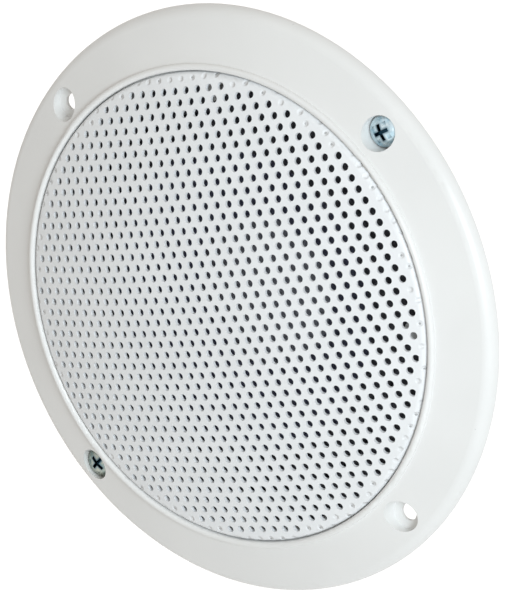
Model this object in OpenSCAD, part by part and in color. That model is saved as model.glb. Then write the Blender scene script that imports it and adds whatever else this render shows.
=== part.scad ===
// Round flush-mount loudspeaker with a moulded bezel, a domed perforated grille and a
// driver behind it. Sizes are in millimetres.
// Each piece is drawn with its front facing up and the wall surface at height 0, then
// stood upright: the front faces -Y, the top is +Z and the back goes into the wall at +Y.

/* [Bezel] */
// Outer radius of the bezel
bezel_r = 80; // [76:0.5:84]
// Height of the grille's edge above the wall surface
bezel_h = 8.8; // [8.7:0.1:9.6]
// Slope of the bezel's face, in degrees
face_slope = 18; // [12:1:19]
// How far the face lies below the grille's edge at the screw circle
face_drop = 3.1; // [2.5:0.1:3.2]
// Radius of the rounded outer edge
edge_round = 4; // [3.6:0.1:4]
// Thickness of the moulded walls
wall = 2.4; // [2:0.1:2.8]
// Width of the raised lip around the grille
lip_w = 1.8; // [1.4:0.1:2.2]
// Height of the lip's crest above the grille's edge
lip_rise = 0.3; // [0:0.1:0.8]
// Width of the ledge that shows inside the collar
ledge_w = 1.6; // [1:0.1:2]
// Width of the bezel from the inside of its lip to its outer edge
face_w = 16; // [15.8:0.1:16.2]
// How far the collar that enters the panel cut-out lies inside the lip
collar_inset = 0.8; // [0.7:0.1:0.9]
// Thickness of the collar
collar_t = 1.6; // [1.5:0.1:1.7]
// Length of the collar behind the wall surface
collar_depth = 8; // [6:0.5:12]
// Number of stiffening ribs behind the face
rib_count = 24; // [12:4:32]
// Thickness of a rib
rib_t = 1.4; // [1:0.1:2]

/* [Screw holes] */
// Distance of a mounting screw from the bezel's outer edge
screw_inset = 8.25; // [8:0.05:8.5]
// Radius of a screw recess
recess_r = 4.5; // [4.3:0.1:4.8]
// Height of the recess floor above the wall surface
recess_floor = 1.8; // [1.6:0.1:2.2]
// Radius of a mounting screw hole
hole_r = 2.3; // [2.2:0.1:2.6]

/* [Mounting screws] */
// Radius of the pan head
head_r = 4; // [3.6:0.1:4.1]
// Height of the pan head
head_h = 2.9; // [2.4:0.1:3.2]
// Radius of the rounding on top of the head
head_round_r = 6.5; // [6:0.1:8]
// Radius of the screw's threaded shank
shank_r = 1.95; // [1.85:0.05:2.05]
// Radius of the plain neck under the head
neck_r = 1.7; // [1.5:0.05:1.8]
// Length of the screw below its head
screw_len = 12; // [9.5:0.5:16]
// Length of the screw's point
point_len = 4; // [3:0.5:5]
// Tip to tip width of the cross recess
cross_w = 4.4; // [3.6:0.1:4.8]
// Width of one slot of the cross recess
cross_slot = 0.9; // [0.7:0.1:1.1]
// Depth of the cross recess
cross_depth = 1.6; // [1:0.1:2]
// Turn of the cross in the top right screw, in degrees
cross_turn = -20; // [-45:1:45]

/* [Grille] */
// Air between the grille's edge and the lip
grille_gap = 0.4; // [0.3:0.1:0.6]
// Rise of the dome at its middle
dome_h = 9.6; // [8:0.2:12]
// Thickness of the coated sheet
sheet_t = 1; // [0.8:0.1:1.2]
// Outer radius of the bend at the edge
bend_r = 1.6; // [1.5:0.1:2.2]
// Height of the turned-back edge
skirt_h = 2.5; // [2.2:0.1:3]
// Diameter of a perforation
perf_d = 2; // [1.4:0.1:2.2]
// Distance between perforations in a row
perf_pitch = 3.32; // [3.2:0.02:4]
// Distance between the rows
perf_rows = 3.33; // [3.2:0.01:4]
// Direction of the rows, in degrees
perf_angle = 125.5; // [0:0.5:180]
// How far the pattern lies off the middle, across and up
perf_shift = [-0.23, -0.44]; // [-1.6:0.01:1.6]
// Distance from the grille's edge within which no hole has its middle
perf_margin = 2.3; // [2.3:0.1:6]

/* [Gaskets] */
// Thickness of the foam ring behind the bezel
gasket_t = 0.8; // [0.6:0.1:1]
// Thickness of the ring between the ledge and the driver
cone_gasket_t = 4; // [3.5:0.1:4.5]

/* [Driver frame] */
// Thickness of the pressed steel frame
frame_t = 1.2; // [0.8:0.1:1.5]
// Width of the frame's flange
flange_w = 10.3; // [10:0.1:10.6]
// Depth of the frame's front wall
frame_wall_h = 8; // [7:0.5:9]
// Depth from the frame's flange to the spider ledge
spider_depth = 21.6; // [21:0.1:22]
// Outer radius of the spider ledge
spider_r = 38.5; // [37:0.5:40]
// Width of the spider ledge
spider_ledge_w = 5; // [4:0.5:6]
// How much narrower the cup's foot is than its rim
cup_taper = 2.5; // [2:0.5:3.5]
// Depth of the cup between the spider ledge and the motor
cup_h = 5.5; // [5.2:0.1:7]
// Number of windows in the frame
window_count = 4; // [4:4:8]
// Angle that a window takes up at its widest, in degrees
window_angle = 58; // [40:1:66]
// Distance of a driver screw from the inside of the collar
driver_screw_inset = 3.2; // [3:0.1:3.4]
// Radius of a boss for a driver screw
boss_r = 2.8; // [2.5:0.1:2.9]
// Radius of a driver screw's shank
driver_shank_r = 1.1; // [1:0.05:1.3]
// Length of a driver screw's shank
driver_shank_len = 5.5; // [4:0.5:6]
// Radius of a driver screw's head
driver_head_r = 2.6; // [2.3:0.1:2.7]
// Height of a driver screw's head
driver_head_h = 1.6; // [1.2:0.1:2]

/* [Cone and suspension] */
// Radius of the surround's half roll
roll_r = 3.7; // [3.5:0.1:3.8]
// Width of the cone's flat rim
cone_rim_w = 2.7; // [2:0.1:3]
// Depth of the cone from its rim to its neck
cone_h = 15; // [13:0.5:16]
// Thickness of the cone
cone_t = 0.7; // [0.5:0.1:0.8]
// Radius of the dust cap
cap_r = 21; // [18:0.5:24]
// Rise of the dust cap
cap_h = 6.5; // [4:0.5:8]
// Thickness of the dust cap
cap_t = 0.6; // [0.4:0.1:0.8]
// Thickness of the rubber surround
surround_t = 0.6; // [0.4:0.1:0.8]
// Thickness of the spider
spider_t = 0.5; // [0.3:0.1:0.6]
// Number of full waves in the spider
spider_waves = 4; // [3:1:5]
// Height of a spider wave above its middle
spider_wave_h = 0.8; // [0.6:0.1:0.9]

/* [Motor] */
// Inner radius of the coil former
former_r = 12.75; // [12.7:0.01:12.8]
// Thickness of the coil former
former_t = 0.35; // [0.25:0.05:0.4]
// Thickness of the winding
coil_t = 0.5; // [0.4:0.05:0.55]
// Length of the winding
coil_len = 9; // [8:0.5:10]
// Clearance on each side of the coil in the gap
gap = 0.4; // [0.35:0.05:0.5]
// Radius of the top plate
plate_r = 35; // [33:0.5:37]
// Thickness of the top plate
plate_t = 5; // [4:0.5:6]
// Outer radius of the magnet
magnet_r = 37.5; // [35:0.5:45]
// Hole radius of the magnet
magnet_hole_r = 17; // [16:0.5:20]
// Thickness of the magnet
magnet_t = 13; // [12:0.5:18]
// Radius of the yoke's back plate
yoke_r = 34; // [32:0.5:36]
// Thickness of the yoke's back plate
yoke_t = 5; // [4:0.5:6]
// Bevel on the motor's edges
motor_bevel = 0.8; // [0.4:0.1:1.5]
// Radius of the circle that the plate rivets lie on
rivet_circle_r = 24; // [23:0.5:26]
// Radius of a plate rivet's shank
rivet_r = 1.5; // [1.2:0.1:1.8]
// How deep a plate rivet goes into the top plate
rivet_depth = 3; // [2:0.5:3.5]
// Height of a plate rivet's head
rivet_head_h = 1; // [0.8:0.1:1.2]

/* [Terminals] */
// Width of the terminal board
board_w = 30; // [28:1:32]
// Height of the terminal board
board_h = 16; // [15:0.5:18]
// Thickness of the terminal board
board_t = 1.6; // [1.2:0.1:2]
// Distance of a terminal from the board's middle
tab_x = 10; // [9:0.5:10.5]
// Width of the positive terminal
tab_w_pos = 6.3; // [5:0.1:6.5]
// Width of the negative terminal
tab_w_neg = 4.8; // [4:0.1:6.3]
// Thickness of a terminal
tab_t = 0.8; // [0.5:0.1:1]
// Length of a terminal
tab_len = 17; // [15:0.5:20]
// Radius of a flexible lead
lead_r = 0.5; // [0.4:0.05:0.7]
// Distance from the axis at which a flexible lead meets the cone
lead_end_r = 29; // [27:0.5:31]
// How deep a flexible lead sags
lead_sag = 4.5; // [3.5:0.5:5]

/* [Hidden] */

// Fineness of round shapes
$fn = 96;
// Small amount that cutters reach past what they cut
eps = 0.5;
// Air left between parts that are put together by hand
fit_gap = 0.4;
// Glue line between a moving piece and its suspension
glue_gap = 0.1;

// Radii that follow from the bezel's outer radius
lip_r = bezel_r - face_w;
grille_r = lip_r - grille_gap;
collar_r = lip_r - collar_inset;
screw_circle_r = bezel_r - screw_inset;

// Bezel: the edge rounding is centred here
edge_x = bezel_r - edge_round;
edge_y = face_y(edge_x) - edge_round / cos(face_slope);
lip_y = bezel_h + lip_rise;
ledge_top = bezel_h - skirt_h;
ledge_bottom = ledge_top - wall;
collar_in = collar_r - collar_t;
ledge_r = collar_in - ledge_w + 0.3;
rib_bottom = gasket_t;
// The collar is thicker above the wall surface, where the panel can't reach
root_r = lip_r + 0.4;

// Grille: the dome is part of a sphere that meets the edge plane at grille_r
dome_r = (grille_r * grille_r + dome_h * dome_h) / (2 * dome_h);
dome_y = bezel_h + dome_h - dome_r;
bend_x = grille_r - bend_r;
bend_y = dome_y + sqrt(pow(dome_r - bend_r, 2) - bend_x * bend_x);
bend_start = bend_x * dome_r / (dome_r - bend_r);
perf_reach = grille_r - perf_margin;
perf_n = ceil(perf_reach / min(perf_pitch, perf_rows)) + 1;

// Driver: heights from the flange down to the back plate
flange_y = ledge_bottom - cone_gasket_t;
flange_r = collar_in - fit_gap;
frame_wall_r = flange_r - flange_w;
driver_screw_r = collar_in - driver_screw_inset;
wall_foot_y = flange_y - frame_wall_h;
spider_seat = flange_y - spider_depth;
cup_r = spider_r - spider_ledge_w;
cup_foot_r = cup_r - cup_taper;
cup_floor = spider_seat - cup_h;
plate_top = cup_floor - frame_t;
plate_foot = plate_top - plate_t;
magnet_foot = plate_foot - magnet_t;
yoke_foot = magnet_foot - yoke_t;
frame_hole_r = former_r + former_t + coil_t + 1.4;
boss_turn = 0;

// Cone and coil: the roll ends a little outside the frame's front wall
roll_over = 0.7;
cone_r = frame_wall_r + roll_over - 2 * roll_r;
rim_in = cone_r - cone_rim_w;
former_out = former_r + former_t;
neck_y = flange_y - cone_h;
cone_slope = (cone_h - cone_t) / (rim_in - former_out);
rim_back = rim_in + cone_t * (sqrt(1 + cone_slope * cone_slope) - 1) / cone_slope;
former_top = neck_y + 2;
coil_mid = plate_top - plate_t / 2;
coil_foot = coil_mid - coil_len / 2;
former_foot = coil_foot - 0.5;
pole_r = former_r - gap;
plate_hole_r = former_out + coil_t + gap;
roll_x = cone_r + roll_r;
seat_r = roll_x + roll_r + 4;

// Spider: a short sleeve on the former, waves, then a flat ring on the frame's ledge
spider_in = former_out + glue_gap;
wave_start = spider_in + 3;
wave_end = cup_r - 0.6;

// Terminals: the board hangs on an ear of the frame's front wall
ear_w = 14;
ear_y = -(frame_wall_r + frame_t + 2);
board_top = flange_y - frame_t - 1;
board_face = ear_y - board_t;
tab_top = board_top - 7;
lug_y = tab_top - 3;
lug_w = 2;
lug_reach = 1.6;
lead_start = [ear_y + lug_reach + fit_gap, lug_y];
lead_end = [-sqrt(lead_end_r * lead_end_r - tab_x * tab_x), cone_back(lead_end_r) - 0.9];

// Height of the bezel's face above the wall at a distance from the middle
function face_y(r) = bezel_h - face_drop - (r - screw_circle_r) * tan(face_slope);

// Height of the cone's front and back surfaces at a distance from the middle
function cone_front(r) = neck_y + cone_t + (r - former_out) * cone_slope;
function cone_back(r) = cone_front(r) - cone_t * sqrt(1 + cone_slope * cone_slope);

// Direction that lies to the right of the way from point a to point b
function right_of(a, b) = [b[1] - a[1], a[0] - b[0]] / norm(b - a);

// Offset of point i of a path, so that the sheet keeps its thickness round a bend
function miter(path, i) =
    let (
        last = len(path) - 1,
        n1 = right_of(path[max(i - 1, 0)], path[max(i, 1)]),
        n2 = right_of(path[min(i, last - 1)], path[min(i + 1, last)])
    ) (n1 + n2) / (1 + n1 * n2);

// Turns a drawing that faces up so that it faces the room
module upright() {
    rotate([90, 0, 0]) children();
}

// Outline of a bent sheet of thickness t, which lies to the right of its path
module bent_sheet(path, t) {
    last = len(path) - 1;
    polygon(concat(
        path,
        [for (i = [last:-1:0]) path[i] + t * miter(path, i)]
    ));
}

// Ring of rectangular section
module ring(r_in, r_out, y, h) {
    rotate_extrude() translate([r_in, y]) square([r_out - r_in, h]);
}

// Copies at equal angles round the middle
module around(count, r, start = 0) {
    for (i = [0:count - 1])
        rotate([0, 0, start + i * 360 / count]) translate([r, 0, 0]) children();
}

// Section under the bezel's face, moved inwards by the given amount; it may reach
// below the wall surface, so that it can be cut out of a larger one
module bezel_section(inset, below = 0) {
    r = edge_round - inset;
    drop = inset / cos(face_slope);
    polygon([
        [lip_r, -below],
        [edge_x, -below],
        [edge_x, edge_y],
        [edge_x + r * sin(face_slope), edge_y + r * cos(face_slope)],
        [lip_r, face_y(lip_r) - drop]
    ]);
    translate([edge_x, edge_y]) intersection() {
        circle(r = r);
        square(r);
    }
    translate([edge_x, -below]) square([r, edge_y + below]);
}

// Shell of the bezel with its lip, ledge and collar
module bezel_shell() {
    rotate_extrude() {
        difference() {
            bezel_section(0);
            bezel_section(wall, eps);
        }
        translate([lip_r, ledge_bottom]) square([lip_w, lip_y - lip_w / 2 - ledge_bottom]);
        translate([lip_r + lip_w / 2, lip_y - lip_w / 2]) circle(d = lip_w, $fn = 48);
        translate([ledge_r, ledge_bottom]) square([lip_r + lip_w - ledge_r, wall]);
        translate([collar_in, -collar_depth]) square([collar_t, collar_depth + ledge_top]);
        translate([collar_in, 0]) square([root_r - collar_in, ledge_bottom + wall / 2]);
    }
}

// Stiffening rib behind the face: its edges end inside the shell's walls
module rib() {
    half = wall / 2;
    drop = half / cos(face_slope);
    round_r = edge_round - half;
    rotate([90, 0, 0]) translate([0, 0, -rib_t / 2]) linear_extrude(rib_t) polygon([
        [lip_r - half, rib_bottom],
        [bezel_r - half, rib_bottom],
        [bezel_r - half, max(edge_y, rib_bottom + 0.1)],
        [edge_x + round_r * sin(face_slope), edge_y + round_r * cos(face_slope)],
        [lip_r + lip_w / 2, face_y(lip_r + lip_w / 2) - drop],
        [lip_r + lip_w / 2, ledge_bottom + half],
        [lip_r - half, ledge_bottom + half]
    ]);
}

// Round boss under a screw recess: its sloping top ends inside the face's wall
module screw_boss() {
    difference() {
        translate([0, 0, rib_bottom]) cylinder(r = recess_r + wall, h = bezel_h);
        translate([0, 0, face_y(screw_circle_r) - wall / 2]) rotate([0, face_slope, 0])
            translate([-bezel_h, -bezel_h, 0]) cube(2 * bezel_h);
    }
}

module bezel() color("whitesmoke") upright() difference() {
    union() {
        bezel_shell();
        around(rib_count, 0, 180 / rib_count) rib();
        around(4, screw_circle_r, 45) screw_boss();
        around(4, driver_screw_r, boss_turn) {
            translate([0, 0, flange_y]) cylinder(r = boss_r, h = ledge_top - flange_y);
            translate([0, -boss_r / 2, ledge_bottom])
                cube([collar_in + wall / 2 - driver_screw_r, boss_r, wall]);
        }
    }
    around(4, screw_circle_r, 45) {
        translate([0, 0, recess_floor]) cylinder(r = recess_r, h = bezel_h);
        translate([0, 0, -eps]) cylinder(r = hole_r, h = bezel_h);
    }
    around(4, driver_screw_r, boss_turn)
        translate([0, 0, flange_y - eps])
            cylinder(r = driver_shank_r + 0.05, h = driver_shank_len - frame_t + 2 * eps);
}

// Section of the solid under the dome, moved inwards by the given amount
module dome_section(inset) {
    intersection() {
        translate([0, dome_y]) circle(r = dome_r - inset, $fn = 720);
        translate([0, ledge_top]) square([bend_start, bezel_h + dome_h]);
    }
    intersection() {
        translate([bend_x, bend_y]) circle(r = bend_r - inset);
        translate([bend_x, bend_y]) square(bend_r);
    }
    translate([0, ledge_top]) square([grille_r - inset, bend_y - ledge_top]);
}

// One punch, square to the sheet: it points out from the middle of the dome's sphere
module punch(x, y) {
    tilt = asin(norm([x, y]) / dome_r);
    foot = dome_r - sheet_t - 1;
    rotate([0, tilt, atan2(y, x)]) difference() {
        cylinder(d = perf_d, h = dome_r + 1, $fn = 16);
        translate([-perf_d, -perf_d, -1]) cube([2 * perf_d, 2 * perf_d, foot + 1]);
    }
}

// Staggered rows of punches, with each second row moved along by half a step; the
// outermost ones are cut short where the sheet starts to bend
module perforations() {
    full_reach = bend_x - perf_d / 2 - 0.2;
    for (row = [-perf_n:perf_n], step = [-perf_n:perf_n]) {
        along = (step + (row % 2 == 0 ? 0 : 0.5)) * perf_pitch;
        across = row * perf_rows;
        x = along * cos(perf_angle) - across * sin(perf_angle) + perf_shift[0];
        y = along * sin(perf_angle) + across * cos(perf_angle) + perf_shift[1];
        reach = norm([x, y]);
        if (reach < min(perf_reach, full_reach)) punch(x, y);
        else if (reach < perf_reach) intersection() {
            punch(x, y);
            cylinder(r = bend_x - 0.1, h = dome_r + bend_r);
        }
    }
}

// The sphere's poles are turned away from the dome
module ball(r) {
    rotate([90, 0, 0]) sphere(r = r, $fn = 360);
}

// Dome without its perforations, from the middle of its sphere
module dome() {
    intersection() {
        difference() {
            ball(dome_r);
            ball(dome_r - sheet_t);
        }
        translate([0, 0, bend_y - dome_y]) cylinder(r = bend_x, h = dome_h + bend_r);
    }
    translate([0, 0, -dome_y]) rotate_extrude() difference() {
        dome_section(0);
        translate([0, -eps]) dome_section(sheet_t);
        translate([0, ledge_top - eps]) square([bend_x, dome_h + bezel_h]);
    }
}

module grille() color("white") upright() translate([0, 0, dome_y]) difference() {
    dome();
    perforations();
}

module mounting_gasket() color("dimgray") upright() difference() {
    ring(root_r + fit_gap, bezel_r - wall - 2 * fit_gap, 0, gasket_t);
    around(4, screw_circle_r, 45)
        translate([0, 0, -eps]) cylinder(r = hole_r + 2, h = gasket_t + 2 * eps);
}

// Pan head screw with a cross recess turned by the given angle
module mounting_screw(turn) {
    difference() {
        rotate_extrude() {
            intersection() {
                square([head_r, head_h]);
                translate([0, head_h - head_round_r]) circle(r = head_round_r, $fn = 180);
            }
            translate([0, -recess_floor]) square([neck_r, recess_floor]);
            translate([0, point_len - screw_len]) square([shank_r, screw_len - point_len - recess_floor]);
            polygon([
                [0, -screw_len],
                [shank_r, point_len - screw_len],
                [0, point_len - screw_len]
            ]);
        }
        for (a = [0, 90])
            rotate([0, 0, turn + a])
                translate([-cross_w / 2, -cross_slot / 2, head_h - cross_depth])
                    cube([cross_w, cross_slot, head_h]);
    }
}

module screw_top_right() color("silver") upright()
    around(1, screw_circle_r, 45)
        translate([0, 0, recess_floor]) mounting_screw(cross_turn);

module screw_bottom_left() color("silver") upright()
    around(1, screw_circle_r, 225)
        translate([0, 0, recess_floor]) mounting_screw(0);

module cone_gasket() color("#202020") upright() difference() {
    ring(frame_wall_r + 1, flange_r, flange_y, cone_gasket_t);
    ring(0, seat_r + 0.2, flange_y - eps, surround_t + eps);
    around(4, driver_screw_r, boss_turn)
        translate([0, 0, flange_y - eps])
            cylinder(r = boss_r + 0.3, h = cone_gasket_t + 2 * eps);
}

module surround() color("#181818") upright() rotate_extrude() {
    translate([rim_in, flange_y]) square([cone_r - rim_in, surround_t]);
    translate([roll_x + roll_r - surround_t / 2, flange_y])
        square([seat_r - roll_x - roll_r + surround_t / 2, surround_t]);
    intersection() {
        translate([roll_x, flange_y]) difference() {
            circle(r = roll_r + surround_t / 2);
            circle(r = roll_r - surround_t / 2);
        }
        translate([0, flange_y]) square([seat_r, 2 * roll_r]);
    }
}

module cone() color("#55585c") upright() rotate_extrude() polygon([
    [former_out, cone_front(former_out)],
    [rim_in, flange_y],
    [cone_r, flange_y],
    [cone_r, flange_y - cone_t],
    [rim_back, flange_y - cone_t],
    [former_out, cone_back(former_out)]
]);

module dust_cap() color("#b9bcc0") upright() rotate_extrude() {
    sphere_r = (cap_r * cap_r + cap_h * cap_h) / (2 * cap_h);
    foot = cone_front(cap_r) + 0.02;
    intersection() {
        translate([0, foot + cap_h - sphere_r]) difference() {
            circle(r = sphere_r, $fn = 360);
            circle(r = sphere_r - cap_t, $fn = 360);
        }
        translate([0, foot]) square([cap_r, cap_h + 1]);
    }
}

module coil_former() color("#c9a25a") upright()
    ring(former_r, former_out, former_foot, former_top - former_foot);

module voice_coil() color("#b4632c") upright()
    ring(former_out, former_out + coil_t, coil_foot, coil_len);

module spider() color("#d8b56a") upright() {
    top = spider_seat + spider_t;
    steps = 12 * spider_waves;
    rotate_extrude() bent_sheet(concat(
        [[spider_in + spider_t, top + 2], [spider_in + spider_t, top]],
        [for (i = [0:steps]) [
            wave_start + i / steps * (wave_end - wave_start),
            top + spider_wave_h * sin(i * 360 * spider_waves / steps)
        ]],
        [[spider_r - 0.5, top]]
    ), spider_t);
}

// Window cutter: tapers towards the magnet and points away from the middle
module window_cutter() {
    top = wall_foot_y - 1.5;
    foot = spider_seat + 1.5;
    half_top = frame_wall_r * sin(window_angle / 2);
    half_foot = (spider_r + 1) * sin(window_angle / 2);
    corner = 3;
    rotate([90, 0, 90]) linear_extrude(bezel_r) polygon([
        [-half_top + corner, top],
        [half_top - corner, top],
        [half_top, top - corner],
        [half_foot, foot + corner],
        [half_foot - corner, foot],
        [-half_foot + corner, foot],
        [-half_foot, foot + corner],
        [-half_top, top - corner]
    ]);
}

module basket() color("#8b9096") upright() difference() {
    union() {
        rotate_extrude() bent_sheet([
            [frame_hole_r, cup_floor],
            [cup_foot_r, cup_floor],
            [cup_r, spider_seat],
            [spider_r, spider_seat],
            [frame_wall_r, wall_foot_y],
            [frame_wall_r, flange_y],
            [flange_r, flange_y]
        ], frame_t);
        difference() {
            translate([-ear_w / 2, ear_y, wall_foot_y])
                cube([ear_w, frame_t + 3, frame_wall_h - frame_t]);
            translate([0, 0, wall_foot_y - eps])
                cylinder(r = frame_wall_r + frame_t / 2, h = frame_wall_h + eps);
        }
    }
    around(window_count, 0) window_cutter();
    around(4, driver_screw_r, boss_turn)
        translate([0, 0, flange_y - frame_t - eps])
            cylinder(r = driver_shank_r + 0.4, h = frame_t + 2 * eps);
    around(4, rivet_circle_r, 45)
        translate([0, 0, plate_top - eps]) cylinder(r = rivet_r, h = frame_t + 2 * eps);
    board_rivet_places() translate([0, 0, -board_t - eps])
        cylinder(r = 1, h = board_t + 1.8 + eps);
}

module basket_screws() color("silver") upright()
    around(4, driver_screw_r, boss_turn) translate([0, 0, flange_y - frame_t]) {
        cylinder(r = driver_shank_r, h = driver_shank_len);
        difference() {
            translate([0, 0, -driver_head_h]) cylinder(r = driver_head_r, h = driver_head_h);
            for (a = [0, 90])
                rotate([0, 0, a]) translate([-1.5, -0.3, -driver_head_h - eps])
                    cube([3, 0.6, 0.8 + eps]);
        }
    }

module top_plate() color("#a9adb2") upright() difference() {
    rotate_extrude() polygon([
        [plate_hole_r, plate_foot],
        [plate_r - motor_bevel, plate_foot],
        [plate_r, plate_foot + motor_bevel],
        [plate_r, plate_top - motor_bevel],
        [plate_r - motor_bevel, plate_top],
        [plate_hole_r, plate_top]
    ]);
    around(4, rivet_circle_r, 45)
        translate([0, 0, plate_top - rivet_depth]) cylinder(r = rivet_r, h = rivet_depth + eps);
}

module plate_rivets() color("#c4c7ca") upright()
    around(4, rivet_circle_r, 45) {
        translate([0, 0, plate_top - rivet_depth]) cylinder(r = rivet_r, h = rivet_depth + frame_t);
        translate([0, 0, cup_floor])
            cylinder(r1 = rivet_r + rivet_head_h, r2 = rivet_r + 0.4, h = rivet_head_h);
    }

module magnet() color("#3a3b3d") upright() rotate_extrude() polygon([
    [magnet_hole_r, magnet_foot],
    [magnet_r - motor_bevel, magnet_foot],
    [magnet_r, magnet_foot + motor_bevel],
    [magnet_r, plate_foot - motor_bevel],
    [magnet_r - motor_bevel, plate_foot],
    [magnet_hole_r, plate_foot]
]);

module yoke() color("#a9adb2") upright() rotate_extrude() polygon([
    [0, yoke_foot],
    [yoke_r - motor_bevel, yoke_foot],
    [yoke_r, yoke_foot + motor_bevel],
    [yoke_r, magnet_foot],
    [pole_r, magnet_foot],
    [pole_r, plate_top - motor_bevel],
    [pole_r - motor_bevel, plate_top],
    [0, plate_top]
]);

// Places of the two rivets that hold the board to the ear, pointing inwards
module board_rivet_places() {
    for (x = [-4, 4])
        translate([x, ear_y, (board_top + wall_foot_y) / 2]) rotate([-90, 0, 0]) children();
}

module terminal_board() color("#7b4a2a") upright() difference() {
    translate([-board_w / 2, board_face, board_top - board_h])
        cube([board_w, board_t, board_h]);
    board_rivet_places() translate([0, 0, -board_t - eps])
        cylinder(r = 1, h = board_t + 2 * eps);
    for (x = [-tab_x, tab_x])
        translate([x - lug_w / 2, board_face - eps, lug_y - tab_t / 2])
            cube([lug_w, board_t + 2 * eps, tab_t]);
}

module board_rivets() color("#c4c7ca") upright()
    board_rivet_places() {
        translate([0, 0, -board_t]) cylinder(r = 1, h = board_t + 1.8);
        translate([0, 0, -board_t - 0.7]) cylinder(r1 = 1.2, r2 = 1.9, h = 0.7);
    }

// Flat push-on terminal with a chamfered tip, a hole and a lug through the board
module terminal(x, w) {
    foot = tab_top - tab_len;
    tip = 1.2;
    translate([x, board_face, 0]) {
        difference() {
            rotate([90, 0, 0]) linear_extrude(tab_t) polygon([
                [-w / 2, tab_top],
                [-w / 2, foot + tip],
                [-w / 2 + tip, foot],
                [w / 2 - tip, foot],
                [w / 2, foot + tip],
                [w / 2, tab_top]
            ]);
            translate([0, eps, foot + 3]) rotate([90, 0, 0])
                cylinder(r = 0.8, h = tab_t + 2 * eps);
        }
        translate([-lug_w / 2, -tab_t / 2, lug_y - tab_t / 2])
            cube([lug_w, tab_t / 2 + board_t + lug_reach, tab_t]);
    }
}

module terminal_positive() color("#d8c27a") upright() terminal(tab_x, tab_w_pos);

module terminal_negative() color("#c9ccd0") upright() terminal(-tab_x, tab_w_neg);

// Round wire that sags in an arc between two points of the plane across x
module sagging_wire(x, from, to, sag, r) {
    chord = norm(to - from);
    arc_r = (chord * chord / 4 + sag * sag) / (2 * sag);
    half = asin(chord / 2 / arc_r);
    slope = atan2(to[1] - from[1], to[0] - from[0]);
    middle = (from + to) / 2;
    up = [-sin(slope), cos(slope)];
    centre = middle + (arc_r - sag) * up;
    translate([x, centre[0], centre[1]])
        rotate([90, 0, 90])
            rotate([0, 0, slope - 90 - half])
                rotate_extrude(angle = 2 * half) translate([arc_r, 0]) circle(r = r, $fn = 24);
}

module lead_positive() color("#b07a4a") upright()
    sagging_wire(tab_x, lead_start, lead_end, lead_sag, lead_r);

module lead_negative() color("#b07a4a") upright()
    sagging_wire(-tab_x, lead_start, lead_end, lead_sag, lead_r);

bezel();
grille();
mounting_gasket();
screw_top_right();
screw_bottom_left();
cone_gasket();
surround();
cone();
dust_cap();
coil_former();
voice_coil();
spider();
basket();
basket_screws();
top_plate();
plate_rivets();
magnet();
yoke();
terminal_board();
board_rivets();
terminal_positive();
terminal_negative();
lead_positive();
lead_negative();
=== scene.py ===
"""Looks of a round flush-mount loudspeaker: coated perforated grille, moulded bezel, driver."""

import math

import bmesh
import bpy
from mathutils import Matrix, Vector


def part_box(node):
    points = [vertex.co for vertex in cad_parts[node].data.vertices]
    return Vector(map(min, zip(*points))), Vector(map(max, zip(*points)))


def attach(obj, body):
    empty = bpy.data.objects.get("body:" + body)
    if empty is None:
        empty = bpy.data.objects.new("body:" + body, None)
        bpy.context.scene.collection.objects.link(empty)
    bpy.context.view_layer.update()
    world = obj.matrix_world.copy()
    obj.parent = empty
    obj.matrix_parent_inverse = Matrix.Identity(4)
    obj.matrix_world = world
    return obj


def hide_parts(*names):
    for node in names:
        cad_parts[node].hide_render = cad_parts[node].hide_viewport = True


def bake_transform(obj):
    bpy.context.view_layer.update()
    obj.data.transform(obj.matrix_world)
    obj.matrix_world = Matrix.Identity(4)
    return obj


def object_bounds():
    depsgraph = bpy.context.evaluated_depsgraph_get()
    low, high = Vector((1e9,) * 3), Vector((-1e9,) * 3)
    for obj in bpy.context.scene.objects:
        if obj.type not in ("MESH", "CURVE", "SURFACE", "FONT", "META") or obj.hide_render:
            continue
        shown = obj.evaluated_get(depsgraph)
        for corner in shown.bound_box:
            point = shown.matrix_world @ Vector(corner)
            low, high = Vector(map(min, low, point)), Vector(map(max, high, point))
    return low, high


bl_info = {
    "name": "Flush Mount Loudspeaker",
    "version": (1, 0, 0),
    "blender": (4, 5, 0),
    "location": "View3D > Sidebar > Loudspeaker",
    "description": "Finishes a round flush-mount loudspeaker and sets it in a plain studio",
    "category": "Object",
}

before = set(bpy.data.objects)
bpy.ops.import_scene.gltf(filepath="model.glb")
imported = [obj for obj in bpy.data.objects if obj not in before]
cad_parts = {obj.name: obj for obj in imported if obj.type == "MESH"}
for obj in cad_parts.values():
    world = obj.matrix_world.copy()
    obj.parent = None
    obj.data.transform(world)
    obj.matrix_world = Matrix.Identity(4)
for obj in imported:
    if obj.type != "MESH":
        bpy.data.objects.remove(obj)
cad_low, cad_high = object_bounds()

CHASSIS = "chassis"
DIAPHRAGM = "diaphragm"
MM = 0.001

# The grille's punching pattern: steps along a row and between rows, the turn of the rows and
# where they start, then a punch's radius and how deep it marks the coating
PUNCH_STEP = 3.32 * MM
PUNCH_ROW = 3.33 * MM
PUNCH_TURN = math.radians(125.5)
PUNCH_SHIFT = (-0.23 * MM, -0.44 * MM)
PUNCH_RADIUS = 1.0 * MM
PUNCH_DEPTH = 0.3 * MM

# A mounting screw's cross recess: half the width of a slot with its flanks, the head's radius
# and depth, and the colours of the painted shade on its flanks and of the darker painted shade deep
# in it
CROSS_FLANK = 2.0 * MM
HEAD_RADIUS = 4.0 * MM
HEAD_DEPTH = 3.2 * MM
FLANK_SHADE_COLOUR = (0.05, 0.12, 0.17)
RECESS_SHADE_COLOUR = (0.012, 0.035, 0.055)
CROSS_TURN_TOP_RIGHT = math.radians(25.0)
CROSS_TURN_BOTTOM_LEFT = math.radians(45.0)

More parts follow.
